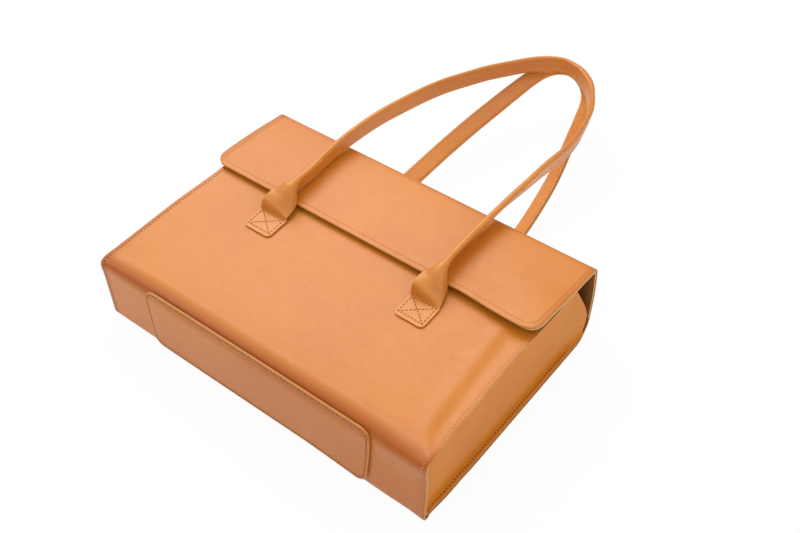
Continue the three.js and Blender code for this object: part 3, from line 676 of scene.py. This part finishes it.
# Each handle's stops are x, y, z from the left tab's free end over the top to the right one's.
frontStops = [
    [-98.5, 116, 86.1], [-98.5, 124, 86.6], [-98.5, 132, 87.1], [-98.5, 139, 87.5],
    [-98.5, 142.3, 87.6], [-98.5, 143.3, 88.2], [-98.5, 144, 89.9], [-98.5, 144.9, 92.8], [-98.4, 146.3, 95.6],
    [-97.9, 149, 97.8], [-97.2, 152.5, 100.3], [-96.2, 156.5, 103.6], [-95.6, 162, 108.3], [-95.8, 166.5, 110.9],
    [-96.2, 171, 111.7], [-96.6, 178, 112.1], [-96.8, 190, 112.3],
    [-97.2, 204, 112.5], [-100, 224, 112.6], [-102, 250, 112.4], [-102, 285, 112], [-100.3, 318, 110.8],
    [-98.6, 344, 107.8], [-97, 372, 103.3], [-94.8, 398, 99], [-90.4, 426, 94.3], [-83.6, 452, 89.9],
    [-75.2, 484, 84], [-63.1, 511.5, 79.8], [-53.7, 528, 78.3], [-43, 542.8, 77.4], [-30, 554, 77], [-15, 560.6, 76.8],
    [-3, 560, 76.8],
    [8, 556, 77], [17, 550.8, 77.1], [25.3, 544.7, 77.2], [34.5, 536.5, 77.6], [42, 527.7, 78.2], [53.7, 509.2, 80.4],
    [65.1, 484.4, 84], [74.8, 451.8, 89.6], [82.8, 418, 95.4], [86.3, 390, 100.4], [87.6, 356, 105.9],
    [89.8, 321, 110.2], [90.2, 285, 112], [90.4, 250, 112.4], [90.4, 224, 112.6], [90.8, 204, 112.4],
    [91.5, 187, 112.3], [92.4, 174.5, 112], [93.3, 167, 111.4], [94.3, 161, 109.2], [94.6, 155, 104.8], [94, 151, 101.6],
    [93.7, 147, 98.9], [93.7, 144, 97.4], [93.7, 142, 95.6], [93.7, 141, 92.8], [93.7, 140.4, 89.8], [93.7, 139.8, 88.1],
    [93.7, 138.8, 87.5],
    [93.7, 135.5, 87.3], [93.7, 128.5, 86.9], [93.7, 120.5, 86.4], [93.7, 112.5, 85.9],
]
rearStops = [
    [-100, 118, 3.3], [-100, 126, 3.3], [-100, 134, 3.3], [-100, 142, 3.2],
    [-100, 150.4, 2.5], [-98.5, 165, 2.45], [-94, 195, 2.45], [-88, 236, 2.5], [-86, 250, 3.0], [-84.3, 262, 5.0],
    [-82.5, 276, 7.4], [-79.4, 305, 10.8], [-76, 344, 15.2], [-73.8, 369, 19.4], [-70.6, 392, 24.7], [-66.6, 413.7, 30.4],
    [-61.8, 437, 36.8], [-57, 460, 42.4], [-51.9, 484, 47.4], [-47.3, 505, 51], [-42.3, 529, 53.9], [-36, 550, 55.6],
    [-26, 564.5, 56.4], [-12.5, 571, 56.6],
    [1, 568.5, 56.5],
    [13.5, 560.3, 56.4], [22.4, 551.6, 56], [29.3, 542.2, 55.3], [35.3, 529.3, 53.6], [40, 513.5, 51.2], [44.5, 497.3, 48.5],
    [48.9, 479, 44.4], [52.8, 463.3, 40.6], [56.5, 446, 36.1], [60, 429.8, 32], [64.3, 405.6, 25.6], [68.3, 372, 17.2],
    [71.5, 341, 12.2], [74, 305, 9.3], [77, 276, 7], [79.5, 262, 5], [82, 250, 3.0], [84.5, 236, 2.5], [88.5, 195, 2.45],
    [91, 165, 2.45], [91.5, 150.4, 2.5],
    [91.5, 142, 3.2], [91.5, 134, 3.3], [91.5, 126, 3.3], [91.5, 118, 3.3],
]
# Turns in degrees by the millimetre from a tab: the front strip's crest leans out, the rear strip's inner edge tips down.
frontLean = {
    "left": ([-1.5, 6, 14, 34, 60, 120, 220, 330, 420], [0, -18, -21, -18, -5, 0, 8, 10, 13]),
    "right": ([-1.5, 6, 14, 24, 34, 60, 150, 215, 262, 310, 400], [0, 22, 25, 22, 20, 24, 24, 13, 4, 4, 14]),
}
rearTilt = {
    "left": ([92, 112, 150, 190, 330, 420, 450], [0, 8, 16, 20, 22, 26, 33]),
    "right": ([92, 112, 126, 150, 260, 320, 420, 450], [0, 8, 18, 26, 30, 42, 42, 33]),
}


def smoothRoute(stops):
    points = np.array(stops, float)
    knots = np.r_[0, np.cumsum(np.sqrt(np.linalg.norm(np.diff(points, axis=0), axis=1)))]
    ends = np.concatenate([[2 * points[0] - points[1]], points, [2 * points[-1] - points[-2]]])
    times = np.r_[2 * knots[0] - knots[1], knots, 2 * knots[-1] - knots[-2]]
    run = []
    for i in range(1, len(ends) - 2):
        p, t = ends[i - 1:i + 3], times[i - 1:i + 3]
        s = np.linspace(t[1], t[2], 24, endpoint=False)[:, None]
        a = [((t[k + 1] - s) * p[k] + (s - t[k]) * p[k + 1]) / (t[k + 1] - t[k]) for k in range(3)]
        b = [((t[k + 2] - s) * a[k] + (s - t[k]) * a[k + 1]) / (t[k + 2] - t[k]) for k in range(2)]
        run.append(((t[2] - s) * b[0] + (s - t[1]) * b[1]) / (t[2] - t[1]))
    return np.concatenate(run + [points[-1:]])


def foldedStrip(w, fold, thickness):
    half = handle["strip"] / 2
    radius = (thickness - handle["thickness"]) / 2
    lean = (radius - (handle["thickness"] + handle["gap"]) / 2) / (half - radius * np.pi / 2)
    fullTurn = np.pi / 2 + lean
    closed = radius * fullTurn
    bend = half - (half - closed) * np.clip(2 * fold - 1, 0, 1)  # it bends over its whole width before it closes
    turnNow = np.clip(2 * fold, 1e-3, 1) * fullTurn
    bendRadius = bend / turnNow
    reach = np.minimum(np.abs(w), bend)
    angle = reach / bendRadius
    rest = np.abs(w) - reach
    sideways = bendRadius * np.sin(angle) + rest * np.cos(angle)
    down = bendRadius * (1 - np.cos(angle)) + rest * np.sin(angle)
    return np.sign(w) * sideways, -down


def handleFrame(line, walked):
    centre = np.stack(readLine(line, walked), axis=1)
    tangent = np.stack(readLine(line, walked + 1), axis=1) - np.stack(readLine(line, walked - 1), axis=1)
    tangent /= np.linalg.norm(tangent, axis=1)[:, None]
    up = np.array([0, 0, 1.0]) - tangent * tangent[:, 2:]
    up /= np.linalg.norm(up, axis=1)[:, None]
    return centre, tangent, up, np.cross(tangent, up)


frontHandleLine = traceLine(smoothRoute(frontStops))
rearHandleLine = traceLine(smoothRoute(rearStops))


def fromRoot(line, walked):
    return np.minimum(walked, line["length"] - walked) - handle["tab"]


def turnsAt(line, walked, turns):
    root = fromRoot(line, walked)
    return np.radians(np.where(walked < line["length"] / 2, np.interp(root, *turns["left"]), np.interp(root, *turns["right"])))


def frontStrip(w, walked):
    centre, tangent, up, across = handleFrame(frontHandleLine, walked)
    root = fromRoot(frontHandleLine, walked)
    sideways, rise = foldedStrip(w, ease(handle["foldFrom"], handle["foldTo"], root), handle["full"])
    lean = turnsAt(frontHandleLine, walked, frontLean)
    crest = up * np.cos(lean)[:, None] - across * np.sin(lean)[:, None]
    side = across * np.cos(lean)[:, None] + np.outer(np.sin(lean), [0, 0, 1])  # one edge rises from the tab, the other stays down
    return centre + side * sideways[:, None] + crest * rise[:, None]


def rearStrip(w, walked):
    centre, tangent, up, across = handleFrame(rearHandleLine, walked)
    root = fromRoot(rearHandleLine, walked)
    thickness = handle["pressed"] + (handle["full"] - handle["pressed"]) * ease(125, 190, root)
    turned = ease(handle["turnedFrom"], handle["turnedTo"], root)
    foldLine = (handle["strip"] / 2 + 3) * (1 - turned)  # a fold that runs slantwise in from the inner edge
    leftShare = turned * ease(80, 140, root) * (1 - ease(0.36, 0.48, walked / rearHandleLine["length"]))
    sideways, rise = foldedStrip(w + foldLine - handle["offFold"] * leftShare, np.ones_like(w), thickness)
    sideways = sideways * ease(0, handle["turnedFrom"], root)
    rise = rise + foldLine + handle["centring"] * turned + handle["offShift"] * leftShare
    roll = np.pi / 2 + turnsAt(rearHandleLine, walked, rearTilt)
    crest = up * np.cos(roll)[:, None] + across * np.sin(roll)[:, None]
    side = np.cross(tangent, crest)
    return centre + side * sideways[:, None] + crest * rise[:, None]


def stripLayout(line):
    rows, length = handle["rows"], line["length"]

    def layout(across, along):
        marks, places = np.array([0, 10, 18, 68, 92]), np.array([0, 5.5, 24, 66, 114])
        walked = np.interp(along * rows, np.r_[marks, (rows - marks)[::-1]], np.r_[places, (length - places)[::-1]])
        toEnd = np.minimum(walked, line["length"] - walked)
        half = roundedHalf(handle["strip"] / 2, handle["corner"], toEnd)
        return (half + handle["widening"] * ease(60, 110, toEnd)) * (2 * across - 1), walked
    return layout


def boxSeams(strip, line, height):
    half, length = handle["boxHalf"], line["length"]
    seams = []
    for start, end in ((handle["boxLow"], handle["boxHigh"]), (length - handle["boxHigh"], length - handle["boxLow"])):
        corners = [[-half, start], [half, start], [half, end], [-half, end]]
        for one, other in ((0, 1), (1, 2), (2, 3), (3, 0), (0, 2), (1, 3)):
            seams.append((strip, [corners[one], corners[other]], height))
    return seams


def foldSeams(strip, line, height):
    seamW = handle["strip"] / 2 + handle["widening"] - handle["seam"]
    start = handle["tab"] + handle["seamFrom"]
    return [(strip, [[sign * seamW, start], [sign * seamW, line["length"] - start]], height) for sign in (-1, 1)]


frontHandle = layGrid("front_handle_strip", frontStrip, stripLayout(frontHandleLine), handle["columns"], handle["rows"])
thicken(frontHandle, handle["thickness"], 0, [strapLeatherPaintedLighter, fleshSideAndPaintedShade, strapEdge])
# The strap is painted darker and more orange towards its apex.
paintBendAndShade(frontHandle, lambda x, y, z: 0.3 * ease(280, 450, y))
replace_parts(frontHandle, "front_handle_strap", "front_handle_filler", "front_tab_left", "front_tab_right")
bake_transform(frontHandle)
skin = handle["thickness"] / 2
frontHandleSeams = sew("front_handle_seams", foldSeams(frontStrip, frontHandleLine, skin), paleThread, dimple)
frontTabSeams = sew("front_tab_seams", boxSeams(frontStrip, frontHandleLine, skin), tanThread, awlHole)
for seams in (frontHandleSeams, frontTabSeams):
    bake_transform(seams)

rearHandle = layGrid("rear_handle_strip", rearStrip, stripLayout(rearHandleLine), handle["columns"], handle["rows"])
thicken(rearHandle, handle["thickness"], 0, [strapLeatherPaintedLighter, fleshSideAndPaintedShade, strapEdge])
# The strap is painted darker and more orange towards its apex.
paintBendAndShade(rearHandle, lambda x, y, z: 0.3 * ease(330, 480, y))
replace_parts(rearHandle, "rear_handle_strap", "rear_handle_filler", "rear_tab_left", "rear_tab_right")
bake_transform(rearHandle)
rearHandleSeams = sew("rear_handle_seams", foldSeams(rearStrip, rearHandleLine, skin), tanThread, dimple)
rearTabSeams = sew("rear_tab_seams", boxSeams(rearStrip, rearHandleLine, skin), tanThread, awlHole)
for seams in (rearHandleSeams, rearTabSeams):
    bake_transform(seams)
print("handles made")


# Inside: facing behind the front's top edge, padded divider
def facingSurface(x, walked):
    return lift(frontSurface, x, walked, np.full(len(x), -frontPanel["thickness"] - 0.3))[0]


facingFrom = walkedTo(frontLine, (172, frontDepth(172)))
facing = layGrid("front_facing_hide", facingSurface, lambda across, along: (
    188 * (2 * across - 1), facingFrom + along * (frontLine["length"] - 2 - facingFrom)), 70, 24)
thicken(facing, 1.6, -1, [fleshSideAndPaintedShade, leather, cutEdge])
paintBendAndShade(facing, lambda x, y, z: 0 * x)
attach(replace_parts(facing, "front_facing"), "shell")

divider = {"half": 188, "low": 14, "high": 226, "corner": 12, "depth": 48.5, "thickness": 4.2, "crown": 0.5}


def dividerSurface(x, y):
    toSide = np.minimum(divider["half"] - np.abs(x), np.minimum(y - divider["low"], divider["high"] - y))
    z = divider["depth"] + divider["crown"] * ease(0, 14, toSide) * (1 + 0.5 * np.cos(x / 25) * np.cos(y / 25))
    return np.stack([x, y, z], axis=1)


def dividerLayout(across, along):
    y = divider["low"] + (divider["high"] - divider["low"]) * (0.5 - 0.5 * np.cos(np.pi * along))
    toEdge = np.minimum(y - divider["low"], divider["high"] - y)
    return roundedHalf(divider["half"], divider["corner"], toEdge) * (2 * across - 1), y


dividerPad = layGrid("laptop_divider_pad", dividerSurface, dividerLayout, 70, 50)
thicken(dividerPad, divider["thickness"], 0, [woolFelt, woolFelt, woolFelt])
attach(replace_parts(dividerPad, "laptop_divider"), "shell")


def finishNode(node, material):
    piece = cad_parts[node]
    piece.data.materials.clear()
    piece.data.materials.append(material)


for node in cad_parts:
    if "snap" in node:
        finishNode(node, nickel)
    elif "backer" in node:
        finishNode(node, fleshSideAndPaintedShade)
    elif node == "base_board":
        finishNode(node, fibreBoard)
print("inside made")


# Floor, light and camera
studio = {
    "floor": "f8f8f6", "floorSize": 40, "floorGlow": 0.95, "lampPlace": (-1.5, 1.2, 2.4), "lampAim": (0, -0.05, 0.05),
    "lampSize": 2.2, "lampPower": 52, "fillPlace": (2.2, -0.4, 1.2), "fillSize": 1.4, "fillPower": 11, "skyTop": 0.83, "skyLow": 0.22,
    "frontPlace": (-1.5, -1.0, 1.3), "frontSize": 1.0, "frontPower": 6.5,
}
clearSelection()
bpy.ops.mesh.primitive_plane_add(size=studio["floorSize"], location=(0, 0, -0.0004))
floor = bpy.context.object
floor.name = "studio_floor"
paper, paperTree, paperShader, paperPlace = startMaterial("white paper sweep", 0.9, 1.5)
paperShader.inputs["Base Color"].default_value = linearColour(studio["floor"])
paperShader.inputs["Specular IOR Level"].default_value = 0.1
rays = addNode(paperTree, "ShaderNodeLightPath")
seen = addNode(paperTree, "ShaderNodeMath", {0: rays.outputs["Is Camera Ray"], 1: rays.outputs["Is Glossy Ray"]}, operation="ADD")
seen = addNode(paperTree, "ShaderNodeMath", {0: seen.outputs[0], 1: rays.outputs["Is Transmission Ray"]}, operation="ADD", use_clamp=True)
glowShare = addNode(paperTree, "ShaderNodeMath", {0: seen.outputs[0]}, {1: studio["floorGlow"]}, operation="MULTIPLY")
glow = addNode(paperTree, "ShaderNodeEmission")
paperMix = addNode(paperTree, "ShaderNodeMixShader", {0: glowShare.outputs[0], 1: paperShader.outputs[0], 2: glow.outputs[0]})
paperTree.links.new(paperMix.outputs[0], paperTree.nodes["Material Output"].inputs["Surface"])
floor.data.materials.append(paper)

for lamp in ("lamp", "fill", "front"):
    place = Vector(studio[lamp + "Place"])
    bpy.ops.object.light_add(type="AREA", location=place)
    softbox = bpy.context.object
    softbox.data.size = studio[lamp + "Size"]
    softbox.data.energy = studio[lamp + "Power"]
    softbox.rotation_euler = (place - Vector(studio["lampAim"])).to_track_quat("Z", "Y").to_euler()

world = bpy.data.worlds.new("pale studio")
bpy.context.scene.world = world
world.use_nodes = True
sky = world.node_tree
lookAlong = addNode(sky, "ShaderNodeTexCoord").outputs["Generated"]
upward = addNode(sky, "ShaderNodeSeparateXYZ", {0: lookAlong})
skyLevel = addNode(sky, "ShaderNodeMapRange", {"Value": upward.outputs["Z"]},
                   {"From Min": 0.1, "From Max": 0.9, "To Min": studio["skyLow"], "To Max": studio["skyTop"]})
sky.links.new(skyLevel.outputs[0], sky.nodes["Background"].inputs["Strength"])
sky.nodes["Background"].inputs["Color"].default_value = (1, 1, 1, 1)

photoCamera = {
    "lens": 47.93, "place": (0.49404, -0.67834, 0.81297),
    "axes": ((0.78881, -0.42877, 0.44037), (0.61435, 0.57183, -0.54368), (-0.0187, 0.69941, 0.71448)),
}
bpy.ops.object.camera_add()
camera = bpy.context.object
camera.data.lens = photoCamera["lens"]
camera.data.sensor_width = 36
camera.matrix_world = Matrix.Translation(photoCamera["place"]) @ Matrix(photoCamera["axes"]).to_4x4()
bpy.context.scene.camera = camera
bpy.context.scene.view_settings.view_transform = "Standard"

print("scene ready")
